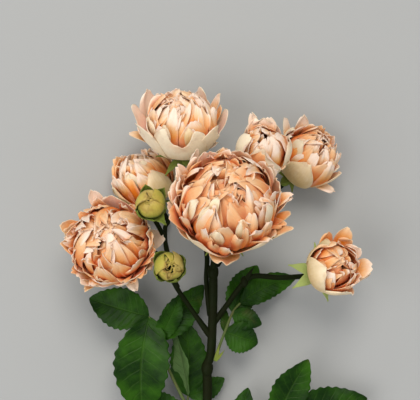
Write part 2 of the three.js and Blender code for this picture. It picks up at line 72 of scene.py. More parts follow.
# Each bloom: the way it faces in the frame, the radius of its CAD heart and of its hip (mm), the length of
# its sepals (mm), the height of its crown as a share of its ball, how much larger than the CAD heart its ball
# is (swell), and how much deeper its colour is than usual (warm). Where its sepals are not the usual ones,
# sepal_half, sepal_tone and sepal_turns give their half width (mm), paleness and directions.
# Guard petals: direction round the bloom (degrees, 0 right, 90 away from the cut end), half width (mm),
# how far up they reach (degrees of latitude), how far the lip rolls out (mm), layer, how much higher the
# middle of the lip is than its corners (below 0 the corners stand up), and tint 0 to 1.
# Rings of inner petals: how many, distance from the middle (1 is the ball), reach, half width and flare
# (as shares of the ball's radius), how pointed they are, and how far one side is lifted over the next (mm).
# Fins: how many narrow petals stand in the heart, and the nearest and farthest they stand (1 is the ball).
# Loose petals (free): direction, latitude and distance of the tip (1 is the heart), half width (mm), how
# pointed, how far the tip curls out (mm), and tint.
BLOOMS = {
    "centre": dict(
        facing=(0.05, 0.5, 0.87), radius=24, hip=3.4, sepal=15, crown=0.92, warm=0.28,
        guards=[
            (20, 13, 22, 1.5, 0, 0.2, 0.5), (92, 13, 26, 1.0, 0, 0.2, 0.8),
            (164, 13, 20, 2.0, 0, 0.25, 0.7), (236, 14, 12, 2.5, 0, 0.2, 0.5),
            (308, 14, 12, 3.0, 0, 0.2, 0.4), (268, 8, -6, 4.0, 1, 0.1, 0.3), (335, 7, 12, 7.0, 1, 0.3, 0.2),
            (126, 5, 38, 5.0, 1, 0.3, 0.9),
        ],
        rings=[
            (13, 1.03, 14, 0.26, 0.12, 0.35, 0.6), (14, 1.0, 26, 0.25, 0.12, 0.4, 0.6),
            (14, 0.98, 38, 0.23, 0.08, 0.4, 0.9), (14, 0.96, 49, 0.21, 0.04, 0.4, 1.0),
            (13, 0.93, 60, 0.19, 0.02, 0.4, 1.2), (12, 0.89, 70, 0.18, 0, 0.4, 1.2),
            (10, 0.84, 79, 0.18, 0, 0.3, 1.2), (9, 0.76, 80, 0.24, 0, 0.2, 0.6),
            (10, 0.84, 86, 0.3, 0, 0, 0.8),
        ],
        fins=(30, 0.04, 0.75),
        free=[
            (169, 5, 1.22, 5, 0.9, 0, 0.6), (180, -1, 1.22, 5, 0.9, 0, 0.9),
            (191, -7, 1.16, 6, 0.9, 0, 0.8), (206, -14, 1.14, 7, 0.8, 0, 0.6),
            (349, 2, 1.27, 4, 0.3, 1, 0.0), (3, 9, 1.14, 5, 0.2, 2, 0.7), (114, 30, 1.06, 7, 0.1, 2, 1.0),
            (40, 26, 1.12, 7, 0.3, 1, 1.0), (75, 34, 1.05, 7, 0.3, 2, 0.8), (238, 66, 1.03, 3, 0.5, 1, 0.7),
            (231, 52, 1.05, 3.2, 0.6, 1, 0.9), (207, 47, 1.04, 4, 0.3, 1, 1.0),
            (286, 44, 1.03, 3.4, 0.6, 1, 0.8), (330, 40, 1.05, 4, 0.5, 1, 0.9),
            (255, 30, 1.06, 4.5, 0.5, 1, 0.7),
        ],
    ),
    "top": dict(
        facing=(0, 0.8, 0.6), radius=17.5, hip=3, sepal=13, crown=0.92, warm=-0.08,
        guards=[
            (270, 15, 2, 1.5, 0, -0.5, 0.7), (342, 15, 0, 2.0, 0, -0.5, 0.6),
            (54, 13, 20, 1.0, 0, 0.1, 0.8), (126, 13, 24, 2.0, 0, 0.1, 0.8),
            (198, 15, 0, 3.0, 0, -0.5, 0.7), (145, 7, 46, 6.0, 1, 0.1, 1.0),
        ],
        rings=[
            (9, 1.01, 26, 0.38, 0.04, 0.0, 0.5), (10, 0.98, 42, 0.34, 0.04, 0.1, 0.6),
            (10, 0.95, 56, 0.3, 0.03, 0.2, 0.8), (10, 0.92, 66, 0.25, 0, 0.3, 1.0),
            (10, 0.88, 76, 0.22, 0, 0.3, 1.2), (7, 0.82, 84, 0.2, 0, 0.3, 1.2),
            (8, 0.73, 80, 0.26, 0, 0.2, 0.6), (8, 0.82, 86, 0.34, 0, 0, 0.8),
        ],
        fins=(18, 0.04, 0.65),
        free=[
            (187, -5, 1.42, 4.5, 0.2, 2, 0.2), (284, 30, 1.06, 2.6, 0.4, 0, 0.0),
            (18, 23, 1.28, 3, 0.6, 0, 0.0), (33, 30, 1.42, 3, 0.7, 0, 0.6),
            (52, 42, 1.26, 3.5, 0.8, 0, 1.0), (341, -20, 1.15, 4, 0.6, 1, 0.5),
            (244, 32, 1.06, 3, 0.7, 0.5, 0.9), (210, 30, 1.1, 5, 0.6, 1, 0.9),
        ],
    ),
    "left": dict(
        facing=(-0.2, 0.25, 0.95), radius=19, hip=3, sepal=13, crown=0.92, swell=1.04, warm=0.08,
        guards=[
            (12, 11, 20, 1.0, 0, 0.1, 0.8), (84, 12, 24, 2.0, 0, 0.2, 0.9), (156, 11, 18, 3.0, 0, 0.2, 0.2),
            (228, 12, 8, 2.0, 0, 0.2, 0.4), (300, 12, 14, 2.0, 0, 0.2, 0.5), (325, 5, 20, 4.0, 1, 0.3, 0.3),
        ],
        rings=[
            (11, 1.03, 10, 0.29, 0.1, 0.3, 0.6), (12, 1.0, 24, 0.27, 0.1, 0.4, 0.7),
            (12, 0.98, 38, 0.25, 0.06, 0.4, 0.9), (12, 0.95, 52, 0.22, 0.02, 0.3, 1.3),
            (12, 0.91, 68, 0.2, 0, 0.3, 1.6), (9, 0.86, 82, 0.19, 0, 0.3, 1.4),
            (8, 0.77, 80, 0.26, 0, 0.2, 0.6), (9, 0.84, 86, 0.34, 0, 0, 0.8),
        ],
        fins=(22, 0.04, 0.7),
        free=[
            (106, 18, 1.5, 4, 0.1, 0, 1.0), (156, 19, 1.4, 4.5, 0.3, 0, 0.2),
            (169, 17, 1.17, 7, 0.5, 0, 0.4), (8, -10, 1.3, 6, 0.2, 3, 0.9), (337, -16, 1.3, 5, 0.4, 1, 0.1),
            (295, -15, 1.46, 4, 1.0, 0, 0.8), (240, -3, 1.36, 3, 0.6, 1, 0.0),
            (211, 7, 1.12, 6, 0.6, 0, 0.6), (254, -7, 1.14, 7, 0.4, 1, 0.7),
            (281, -14, 1.1, 7, 0.5, 1, 0.6), (228, 2, 1.2, 4, 0.8, 0, 0.3), (37, 2, 1.12, 7, 0.2, 1, 0.9),
        ],
    ),
    "rear": dict(
        facing=(-0.45, 0.8, 0.35), radius=13, hip=2.8, sepal=6, crown=0.92, swell=1.15, warm=0.08,
        guards=[
            (32, 9, 24, 1, 0, 0.2, 0.5), (120, 9, 26, 1, 0, 0.2, 0.6), (210, 8, 30, 1.5, 0, 0.2, 0.1),
            (300, 9, 30, 1, 0, 0.2, 0.2),
        ],
        rings=[
            (9, 1.03, 34, 0.32, 0.1, 0.4, 0.5), (9, 0.98, 48, 0.3, 0.08, 0.4, 0.6),
            (9, 0.95, 60, 0.26, 0.04, 0.4, 0.8), (8, 0.9, 72, 0.24, 0, 0.4, 1.0),
            (6, 0.84, 82, 0.22, 0, 0.4, 1.0), (6, 0.74, 78, 0.3, 0, 0.2, 0.6),
        ],
        fins=(9, 0.05, 0.6),
        free=[
            (145, 60, 1.45, 4.5, 0.6, 1, 0.0), (191, 8, 1.2, 3.5, 0.8, 0, 0.5),
            (12, 6, 1.5, 4, 0.3, 3, 0.0), (296, 56, 1.1, 4, 0.5, 1, 0.9), (248, 44, 1.08, 4.5, 0.6, 1, 0.9),
            (300, 24, 1.1, 5, 0.5, 1, 0.5), (215, 30, 1.15, 4, 0.7, 1, 0.7), (35, 45, 1.2, 5, 0.4, 1, 0.9),
        ],
    ),
    "upper_right": dict(
        facing=(0.05, 0.6, 0.8), radius=11, hip=2.8, sepal=10, crown=0.88, swell=1.12, warm=-0.1,
        guards=[
            (262, 13, 60, 0.3, 0, 0.2, 1.0), (0, 11, 46, 1, 0, 0.1, 0.3), (90, 11, 46, 1, 0, 0.1, 0.6),
            (180, 12, 66, 0.5, 0, 0.15, 1.0),
        ],
        rings=[
            (6, 0.97, 50, 0.46, 0.03, 0.0, 0.4), (6, 0.91, 60, 0.42, 0.03, 0.1, 0.6),
            (6, 0.85, 70, 0.32, 0, 0.3, 0.8), (6, 0.78, 78, 0.28, 0, 0.3, 0.8),
            (5, 0.68, 80, 0.3, 0, 0.2, 0.6),
        ],
        fins=(7, 0.05, 0.5),
        free=[
            (111, 38, 1.8, 3, 0.7, 0, 0.8), (116, 30, 1.5, 3.5, 0.6, 0, 0.6),
            (332, -4, 1.3, 6.5, 0.3, 0, 0.0), (21, 24, 1.16, 5.5, 0.4, 1, 0.3),
            (80, 40, 1.5, 5, 0.5, 1, 0.7), (199, 10, 1.22, 7, 0.2, 0, 0.9), (296, 0, 1.3, 4, 0.8, 0, 0.4),
        ],
    ),
    "far_right": dict(
        facing=(0.55, 0.6, 0.58), radius=14, hip=2.8, sepal=6, crown=0.92, swell=1.08, warm=0.2,
        guards=[
            (340, 10, 20, 1.5, 0, 0.2, 0.4), (70, 10, 26, 1, 0, 0.2, 0.6), (160, 10, 34, 1, 0, 0.2, 0.6),
            (250, 10, 30, 1, 0, 0.1, 0.3),
        ],
        rings=[
            (9, 1.01, 34, 0.36, 0.05, 0.1, 0.5), (9, 0.97, 46, 0.32, 0.05, 0.2, 0.6),
            (9, 0.93, 58, 0.28, 0.02, 0.3, 0.8), (8, 0.88, 70, 0.25, 0, 0.3, 1.0),
            (7, 0.82, 80, 0.22, 0, 0.3, 1.0), (6, 0.72, 78, 0.3, 0, 0.2, 0.6),
        ],
        fins=(9, 0.05, 0.6),
        free=[
            (124, 38, 1.5, 5, 0.4, 1, 1.0), (143, 20, 1.65, 4.5, 0.5, 1, 1.0),
            (323, -8, 1.58, 4.5, 0.1, 1, 0.9), (348, 25, 1.15, 5, 0.4, 1, 1.0),
            (99, 50, 1.2, 6, 0.5, 1, 0.4), (205, 44, 1.1, 5, 0.4, 1, 0.9), (60, 45, 1.2, 5, 0.6, 1, 0.3),
        ],
    ),
    "lower_right": dict(
        facing=(0.5, 0.2, 0.84), radius=12, hip=2.8, sepal=15, crown=0.88, swell=1.06, warm=0.18,
        sepal_half=3.2, sepal_tone=0.9, sepal_turns=(18, 90, 170, 214, 300),
        guards=[
            (352, 6, 16, 7, 0, 0.1, 0.4), (64, 8, 26, 3, 0, 0.2, 0.1), (136, 8, 42, 1, 0, 0.2, 0.1),
            (208, 11, 44, 0.5, 0, 0.1, 0.4), (280, 11, 32, 1, 0, 0.1, 0.4),
        ],
        rings=[
            (7, 0.99, 42, 0.42, 0.04, 0.0, 0.5), (7, 0.95, 54, 0.36, 0.04, 0.2, 0.6),
            (7, 0.9, 66, 0.3, 0, 0.3, 0.8), (7, 0.83, 76, 0.27, 0, 0.3, 1.0),
            (6, 0.73, 80, 0.3, 0, 0.2, 0.6),
        ],
        fins=(9, 0.05, 0.5),
        free=[
            (74, 22, 1.75, 5, 0.3, 1, 0.2), (107, 8, 1.5, 4.5, 0.9, 0, 0.0),
            (359, 30, 1.6, 5.5, 0.0, 1, 0.6), (45, 30, 1.3, 5, 0.4, 1, 0.9),
        ],
    ),
}

# Sepals that hug a bud: direction, reach and how far the tip stands off (mm). Closing is the latitude its
# petals close to, and crumple the number of small crumpled petals in its middle.
BUDS = {
    "upper_bud": dict(
        facing=(0, 0.3, 0.95), radius=7, hip=2.4, closing=86, crumple=8,
        sepals=[(109, 34, 2.0), (51, 26, 2.5), (223, 26, 0.4), (275, 4, 0.6), (310, -10, 5.0)],
    ),
    "lower_bud": dict(
        facing=(0.1, 0, 0.99), radius=7, hip=2.4, closing=72, crumple=24, warm=0.04,
        sepals=[(135, 30, 2.2), (14, 44, 1.6), (291, 46, 1.2), (225, 36, 1.4), (335, 44, 1.8)],
    ),
}

# The stem and the leaves are given in millimetres from the foot of the stem, and this is where the middle
# of the centre bloom lies there.
CENTRE_HEART = Vector((15, 238, 68))

TRUNK = [
    (0, 0, 3), (1, 45, 4), (3, 100, 8), (5, 137, 12), (5, 154, 15), (7, 162, 17), (8, 190, 21),
    (8, 206, 24),
]
LEFT_BRANCH = [(6.5, 170, 18), (-4, 185, 22), (-12, 198, 27), (-15, 210, 30)]
# Each flower's stalk: its radius and the points it passes before it turns to the flower.
STALKS = {
    "centre": (1.7, [(8, 203, 23), (9, 211, 28)]),
    "top": (1.3, [(6.5, 180, 19), (4.5, 198, 19), (4.5, 214, 18), (-2, 240, 17)]),
    "left": (1.2, [(-14, 206, 29), (-22, 213, 19), (-30, 212, 9)]),
    "rear": (1.2, [(-11, 197, 26), (-16, 213, 14), (-17, 225, 7)]),
    "upper_right": (1.2, [(8, 202, 22), (14, 222, 18), (25, 241, 18)]),
    "far_right": (1.2, [(10, 206, 21), (18, 220, 14), (30, 235, 9)]),
    "lower_right": (1.4, [(8, 176, 18), (15, 186, 21), (24, 198, 22), (30, 201, 22), (42, 200, 19)]),
    "upper_bud": (1.2, [(-14, 207, 29), (-17, 221, 33)]),
    "lower_bud": (1.2, [(-10, 195, 26), (-14, 203, 29)]),
}
# Scales: foot, tip and half width. Forks: where they are and how thick.
BRACT = ((24, 198, 22), (29, 206, 25), 1.2)
STIPULES = [((9.2, 157, 18.8), (11.3, 166, 20.5), 1.0), ((9.2, 157, 18.8), (14, 163, 21), 0.8)]
FORKS = [((5, 153, 15), 3.2), ((8, 203, 23.5), 3.0), ((24, 198, 22), 2.1)]

# Leaflets: the point of the route they grow from, tip, half width (mm), roll (degrees), arch (mm), and fold
# along the midrib.
LEAVES = {
    "leaf_left": dict(
        route=[(0.5, 123, 10), (-8, 138, 13), (-16, 155, 15), (-20, 168, 17), (-25, 180, 18)],
        leaflets=[
            (4, (-56, 189, 15), 11, 8, 2, 0.15), (4, (-28, 127, 18), 14.5, -6, 5, 0.12),
            (3, (-9, 191, 19), 6, 14, 1.5, 0.2), (3, (3, 196, 13), 8.5, -10, 0, 0.1),
            (2, (-40, 161, 8), 7, 6, 1, 0.15),
        ],
    ),
    "leaf_low": dict(
        route=[(-0.7, 103, 7), (-4, 114, 7), (-6, 126, 7.5), (-5, 138, 8)],
        leaflets=[
            (3, (-6, 177, 8), 10, 6, 0.5, 0.1), (3, (-12, 173, 12), 5, 138, -0.5, -0.35),
            (3, (14, 147, 6), 6, 0, 0, 0.1), (2, (-27, 141, 6), 8, -8, 1.5, 0.15),
            (1, (-32, 110, 2), 9, 8, 3, 0.15),
        ],
    ),
    "leaf_middle": dict(
        route=[(8.8, 157, 18.4), (11, 164, 19.5), (14, 172, 20), (18, 182, 19.5), (22, 187, 19)],
        leaflets=[
            (4, (51, 200, 12), 7, -8, -1, 0.1), (3, (31, 206, 12), 9, 8, -1, 0.1),
            (3, (33, 176, 20), 6, 10, 1, 0.15), (2, (31, 166, 18), 8.5, -6, 1.5, 0.15),
            (2, (14, 184, 14), 2.5, 0, 0, 0.1),
        ],
    ),
    "leaf_right": dict(
        route=[(6.6, 97, 9), (18, 109, 12), (32, 120, 15), (40, 125, 16), (46, 128, 17)],
        leaflets=[
            (4, (88, 137, 12), 10.5, -8, 2, 0.12), (3, (57, 158, 19), 10, 12, 2, 0.2),
            (2, (60, 100, 5), 10, 8, 3, 0.15), (1, (26, 143, 15), 8, -8, 1.5, 0.12),
            (1, (38, 86, 4), 8.5, 8, 3, 0.15),
        ],
    ),
}

# ---- placing


def lerp(a, b, t):
    return a + (b - a) * t


def clamp(value):
    return max(0.0, min(1.0, value))


def heart_node(name):
    return f"{name}_petals" if name in BUDS else f"{name}_bloom_heart"


def calyx_node(name):
    return f"{name}_calyx" if name in BUDS else f"{name}_bloom_calyx"


def flower_axes(facing):
    """A flower's own axes: to the right, away from the cut end, and out of its face."""
    forward = Vector(facing).normalized()
    right = Vector((1, 0, 0)) - forward * forward.x
    right.normalize()
    return right, forward.cross(right), forward


def flower_middle(node, facing, radius):
    """The middle of a flower's ball, from the back pole of its CAD heart."""
    forward = Vector(facing).normalized()
    pole = min((v.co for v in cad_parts[node].data.vertices), key=lambda co: co.dot(forward))
    return pole + forward * (HEART_BACK * FLATTENING * radius * MM)


def place_flower(name, flower):
    """Works out how large a flower's ball of petals is and where its own frame stands."""
    middle = flower_middle(heart_node(name), flower["facing"], flower["radius"])
    turn = Matrix(flower_axes(flower["facing"])).transposed().to_4x4()
    flower["ball"] = flower["radius"] * flower.get("swell", 1)
    flower["middle"] = middle
    flower["place"] = Matrix.Translation(middle) @ turn @ Matrix.Scale(MM, 4)


def hip_depth(name):
    """From the middle of a flower's ball back to the top of its hip."""
    return FLOWERS[name]["radius"] * FLATTENING + (BUD_HIP_CLEARANCE if name in BUDS else HIP_CLEARANCE)


FLOWERS = {**BLOOMS, **BUDS}
for flower_name, flower_sizes in FLOWERS.items():
    place_flower(flower_name, flower_sizes)

SPRAY_ORIGIN = FLOWERS["centre"]["middle"] - CENTRE_HEART * MM
SPRAY_PLACE = Matrix.Translation(SPRAY_ORIGIN) @ Matrix.Scale(MM, 4)

# ---- materials

NOISE_ROUGHNESS = 0.55

# How much the painted shade and glow of a hollow (with a flower's warmth) darken a petal towards its root
# colour, and how tone, veins and clouds move a petal's colour, as factor and start.
HOLLOW_SHADE_SHIFT = -0.62
TONE_SPREAD = (0.62, -0.25)
VEIN_SPREAD = (0.24, -0.12)
CLOUD_SPREAD = (0.3, -0.15)
# How fast the colour changes from root to lip.
PETAL_RISE = 1.75
GUARD_RISE = 0.85
PALE_EDGE_AMOUNT = 0.26
VEIN_RELIEF = 0.00035
SKIN_RELIEF = 0.0003

RUST = (0.1, 0.07, 0.03)
TENDER_GREEN = (0.42, 0.5, 0.17)
PITH_DARK = (0.42, 0.46, 0.2)
PITH_LIGHT = (0.62, 0.6, 0.4)
DRY_LIP = (0.42, 0.2, 0.1)
BLUSH = (0.72, 0.3, 0.22)

PEACH_STOPS = [
    (0.0, (0.77, 0.17, 0.003)), (0.25, (0.81, 0.24, 0.014)), (0.48, (0.84, 0.33, 0.055)),
    (0.7, (0.88, 0.46, 0.16)), (0.95, (0.95, 0.74, 0.57)),
]
PALE_STOPS = [
    (0.0, (0.77, 0.18, 0.006)), (0.25, (0.81, 0.26, 0.025)), (0.5, (0.84, 0.37, 0.095)),
    (0.75, (0.88, 0.53, 0.26)), (0.98, (0.95, 0.75, 0.6)),
]
GUARD_STOPS = [
    (0.0, (0.5, 0.42, 0.1)), (0.22, (0.66, 0.44, 0.16)), (0.5, (0.74, 0.52, 0.24)),
    (0.75, (0.84, 0.64, 0.38)), (1.0, (0.92, 0.78, 0.56)),
]
BUD_STOPS = [
    (0.0, (0.12, 0.18, 0.015)), (0.45, (0.3, 0.3, 0.03)), (0.8, (0.5, 0.4, 0.06)), (1.0, (0.58, 0.44, 0.12)),
]


class Finish:
    """A procedural material: a Principled shader and a few node helpers."""

    def __init__(self, name):
        self.material = bpy.data.materials.new(name)
        self.material.use_nodes = True
        self.tree = self.material.node_tree
        self.shader = self.tree.nodes["Principled BSDF"]

    def node(self, kind, inputs=(), **settings):
        made = self.tree.nodes.new(kind)
        for key, value in settings.items():
            setattr(made, key, value)
        for socket, value in dict(inputs).items():
            self.feed(made.inputs[socket], value)
        return made

    def feed(self, socket, value):
        if isinstance(value, bpy.types.NodeSocket):
            self.tree.links.new(value, socket)
        else:
            socket.default_value = value

    def calc(self, operation, a, b=0.0, c=0.0):
        return self.node("ShaderNodeMath", {0: a, 1: b, 2: c}, operation=operation).outputs[0]

    def spread(self, value, low, high):
        """0 at low and 1 at high, eased."""
        made = self.node("ShaderNodeMapRange", {0: value, 1: low, 2: high}, interpolation_type="SMOOTHSTEP")
        return made.outputs[0]

    def attribute(self, name):
        return self.node("ShaderNodeAttribute", attribute_name=name).outputs["Fac"]

    def uv(self):
        split = self.node("ShaderNodeSeparateXYZ", {0: self.node("ShaderNodeUVMap").outputs[0]})
        return split.outputs[0], split.outputs[1]

    def noise(self, scale, detail, vector=None):
        """Noise through the piece, or over the coordinates given."""
        where = vector or self.node("ShaderNodeTexCoord").outputs["Object"]
        settings = {"Vector": where, "Scale": scale, "Detail": detail, "Roughness": NOISE_ROUGHNESS}
        return self.node("ShaderNodeTexNoise", settings).outputs[0]

    def stretch(self, across, up, crosswise, lengthwise, offset=0.0):
        """Coordinates that draw noise out along a piece."""
        x, y = self.calc("MULTIPLY", across, crosswise), self.calc("MULTIPLY", up, lengthwise)
        return self.node("ShaderNodeCombineXYZ", {0: x, 1: y, 2: offset}).outputs[0]

    def from_middle(self, value):
        """How far a share from 0 to 1 is from its middle, 0.5."""
        return self.calc("ABSOLUTE", self.calc("SUBTRACT", value, 0.5))

    def ramp(self, factor, stops):
        made = self.node("ShaderNodeValToRGB", {0: factor})
        band = made.color_ramp
        while len(band.elements) < len(stops):
            band.elements.new(0.5)
        for element, (place, colour) in zip(band.elements, stops):
            element.position = place
            element.color = (*colour, 1)
        return made.outputs[0]

    def blend(self, factor, a, b):
        """From colour a to colour b; sockets 6 and 7 are the colours of a Mix node."""
        made = self.node("ShaderNodeMix", data_type="RGBA")
        self.feed(made.inputs["Factor"], factor)
        self.feed(made.inputs[6], (*a, 1) if isinstance(a, tuple) else a)
        self.feed(made.inputs[7], (*b, 1) if isinstance(b, tuple) else b)
        return made.outputs[2]

    def bump(self, height, distance, strength):
        made = self.node("ShaderNodeBump", {"Height": height, "Distance": distance, "Strength": strength})
        self.feed(self.shader.inputs["Normal"], made.outputs[0])

    def set(self, **values):
        for key, value in values.items():
            self.feed(self.shader.inputs[key.replace("_", " ")], value)


def petal_finish(name, stops, rise, lip_colour, lip_amount, stain_colour, stain_amount):
    """Root to lip colours, with painted shade and glow in the bloom's hollows, streaked along the petal, with a
    dry or blushed lip and soft stains.
    """
    made = Finish(name)
    across, up = made.uv()
    tone = made.attribute("tone")
    # Painted shade and glow: how deep each point lies in the bloom's hollows, plus the flower's warmth.
    hollow_shade = made.attribute("shade")
    offset = made.calc("MULTIPLY", tone, 9.0)
    veins = made.noise(1.0, 3.0, made.stretch(across, up, 26.0, 2.4, offset))
    cloud = made.noise(260.0, 2.0)
    level = made.calc("MULTIPLY_ADD", up, rise, made.calc("MULTIPLY_ADD", hollow_shade, HOLLOW_SHADE_SHIFT, 1.0 - rise))
    for cause, spread in ((tone, TONE_SPREAD), (veins, VEIN_SPREAD), (cloud, CLOUD_SPREAD)):
        level = made.calc("ADD", level, made.calc("MULTIPLY_ADD", cause, *spread))
    colour = made.ramp(level, stops)
    side = made.from_middle(across)
    rim = made.calc("MAXIMUM", made.spread(up, 0.86, 1.0), made.spread(side, 0.42, 0.5))
    edge = made.calc("MAXIMUM", side, made.calc("MULTIPLY", up, 0.5))
    pale_edge = made.calc("MULTIPLY", made.spread(edge, 0.22, 0.5), PALE_EDGE_AMOUNT)
    colour = made.blend(pale_edge, colour, stops[-1][1])
    patchy = made.spread(made.noise(170.0, 3.0), 0.42, 0.66)
    worn = made.calc("MULTIPLY", made.calc("MULTIPLY", rim, patchy), lip_amount)
    colour = made.blend(worn, colour, lip_colour)
    stain = made.calc("MULTIPLY", made.spread(made.noise(90.0, 4.0), 0.52, 0.75), stain_amount)
    colour = made.blend(stain, colour, stain_colour)
    made.set(Base_Color=colour, Roughness=made.calc("MULTIPLY_ADD", veins, 0.2, 0.48))
    made.set(Subsurface_Weight=0.15, Subsurface_Scale=0.003, Subsurface_Radius=(1.0, 0.9, 0.8))
    made.set(Sheen_Weight=0.05, Specular_IOR_Level=0.25)
    fine = made.noise(1500.0, 2.0)
    made.bump(made.calc("MULTIPLY_ADD", veins, 1.0, made.calc("MULTIPLY", fine, 0.25)), VEIN_RELIEF, 0.6)
    return made.material


def leaf_finish(name, dark, light, vein, roughness, gloss):
    """A veined blade: midrib and slanting side veins from the blade's own UV map."""
    made = Finish(name)
    across, up = made.uv()
    side = made.calc("MULTIPLY", made.from_middle(across), 2.0)
    slant = made.calc("FRACT", made.calc("MULTIPLY_ADD", side, -1.5, made.calc("MULTIPLY", up, 9.0)))
    side_vein = made.spread(made.from_middle(slant), 0.12, 0.0)
    side_vein = made.calc("MULTIPLY", side_vein, made.spread(side, 1.0, 0.55))
    midrib = made.spread(side, 0.07, 0.015)
    net = made.noise(1.0, 2.0, made.stretch(across, up, 36.0, 60.0))
    lines = made.calc("MAXIMUM", midrib, made.calc("MULTIPLY", side_vein, 0.7))
    # Patches between the dark and light greens: partly the leaf's own mottling, partly painted shade and
    # painted reflection.
    mottle_and_shading = made.spread(made.noise(70.0, 4.0), 0.3, 0.7)
    colour = made.blend(mottle_and_shading, dark, light)
    colour = made.blend(made.calc("MULTIPLY", lines, 0.2), colour, vein)
    colour = made.blend(made.calc("MULTIPLY", made.spread(net, 0.5, 0.75), 0.2), colour, light)
    rusty = made.calc("MULTIPLY", made.spread(made.noise(45.0, 5.0), 0.6, 0.8), 0.5)
    colour = made.blend(rusty, colour, RUST)
    made.set(Base_Color=colour, Roughness=made.calc("MULTIPLY_ADD", net, 0.2, roughness))
    made.set(Specular_IOR_Level=gloss)
    made.bump(made.calc("SUBTRACT", made.calc("MULTIPLY", net, 0.35), lines), SKIN_RELIEF, 0.7)
    return made.material


def skin_finish(name, dark, light, flush, flush_amount, roughness):
    """Stem, hip and sepal skin: fine lengthwise streaks, blotches and small pale pores."""
    made = Finish(name)
    across, up = made.uv()
    streak = made.noise(1.0, 3.0, made.stretch(across, up, 14.0, 3.0))
    blotch = made.spread(made.noise(130.0, 4.0), 0.35, 0.7)
    colour = made.blend(streak, dark, light)
    colour = made.blend(made.calc("MULTIPLY", blotch, flush_amount), colour, flush)
    pores = made.spread(made.noise(1300.0, 1.0), 0.68, 0.8)
    colour = made.blend(made.calc("MULTIPLY", pores, 0.35), colour, light)
    colour = made.blend(made.calc("MULTIPLY", made.attribute("tone"), 0.8), colour, TENDER_GREEN)
    cut = made.attribute("cut")
    colour = made.blend(cut, colour, made.blend(made.noise(900.0, 2.0), PITH_DARK, PITH_LIGHT))
    made.set(Base_Color=colour, Roughness=made.calc("MULTIPLY_ADD", blotch, 0.15, roughness))
    made.set(Specular_IOR_Level=0.06)
    made.bump(made.calc("ADD", streak, made.calc("MULTIPLY", pores, 0.5)), SKIN_RELIEF, 0.7)
    return made.material


def floor_finish():
    made = Finish("pale_floor")
    colour = made.blend(made.noise(9.0, 4.0), (0.362, 0.364, 0.358), (0.377, 0.379, 0.372))
    made.set(Base_Color=colour, Roughness=0.9, Specular_IOR_Level=0.1)
    return made.material


inner_face = petal_finish(
    "petal_inner_face", PEACH_STOPS, PETAL_RISE,
    lip_colour=BLUSH, lip_amount=0.1, stain_colour=(0.95, 0.42, 0.14), stain_amount=0.3,
)
outer_face = petal_finish(
    "petal_outer_face", PALE_STOPS, PETAL_RISE,
    lip_colour=DRY_LIP, lip_amount=0.1, stain_colour=(0.92, 0.5, 0.3), stain_amount=0.25,
)
guard_inner_face = petal_finish(
    "guard_inner_face", PALE_STOPS, GUARD_RISE,
    lip_colour=DRY_LIP, lip_amount=0.3, stain_colour=(0.8, 0.42, 0.24), stain_amount=0.3,
)
guard_outer_face = petal_finish(
    "guard_outer_face", GUARD_STOPS, GUARD_RISE,
    lip_colour=DRY_LIP, lip_amount=0.45, stain_colour=(0.66, 0.38, 0.22), stain_amount=0.35,
)
bud_face = petal_finish(
    "bud_petal_face", BUD_STOPS, GUARD_RISE,
    lip_colour=(0.26, 0.12, 0.03), lip_amount=0.8, stain_colour=(0.3, 0.17, 0.035), stain_amount=0.75,
)
# The upper face's dark green is partly its own colour, partly painted shade.
leaf_upper = leaf_finish(
    "leaf_upper_face", dark=(0.003, 0.018, 0.0005), light=(0.024, 0.085, 0.003), vein=(0.05, 0.12, 0.01),
    roughness=0.3, gloss=0.1,
)
leaf_under = leaf_finish(
    "leaf_under_face", dark=(0.06, 0.12, 0.03), light=(0.09, 0.16, 0.045), vein=(0.18, 0.24, 0.09),
    roughness=0.55, gloss=0.25,
)
# The stem's greens are nearly black: its own dark skin with painted shade added.
stem_skin_and_shade = skin_finish(
    "stem_skin_and_shade", dark=(0.003, 0.006, 0.001), light=(0.011, 0.017, 0.003), flush=(0.01, 0.008, 0.003),
    flush_amount=0.4, roughness=0.5,
)
petiole_skin = skin_finish(
    "petiole_skin", dark=(0.06, 0.09, 0.025), light=(0.12, 0.16, 0.05), flush=(0.12, 0.05, 0.03),
    flush_amount=0.3, roughness=0.45,
)
calyx_skin = skin_finish(
    "calyx_skin", dark=(0.09, 0.14, 0.02), light=(0.26, 0.32, 0.06), flush=(0.16, 0.1, 0.03),
    flush_amount=0.25, roughness=0.5,
)
PETAL_FACES = [outer_face, inner_face]
GUARD_FACES = [guard_outer_face, guard_inner_face]
BUD_FACES = [bud_face, bud_face]
LEAF_FACES = [leaf_upper, leaf_under]

# ---- meshes and pieces

SMOOTHING = 1


def new_mesh(*attributes):
    """An empty mesh with a UV map and the named numbers kept at its vertices."""
    mesh = bmesh.new()
    mesh.loops.layers.uv.new("UVMap")
    for name in attributes:
        mesh.verts.layers.float.new(name)
    return mesh


def uv_grid(mesh, columns, rows, climb=1.0):
    """A flat grid from -1 to 1 both ways, with a UV map that runs up to climb."""
    uv = mesh.loops.layers.uv.verify()
    grid = bmesh.ops.create_grid(mesh, x_segments=columns, y_segments=rows, size=1.0)["verts"]
    for face in {face for vert in grid for face in vert.link_faces}:
        for loop in face.loops:
            loop[uv].uv = (0.5 + loop.vert.co.x / 2, (0.5 + loop.vert.co.y / 2) * climb)
    return grid


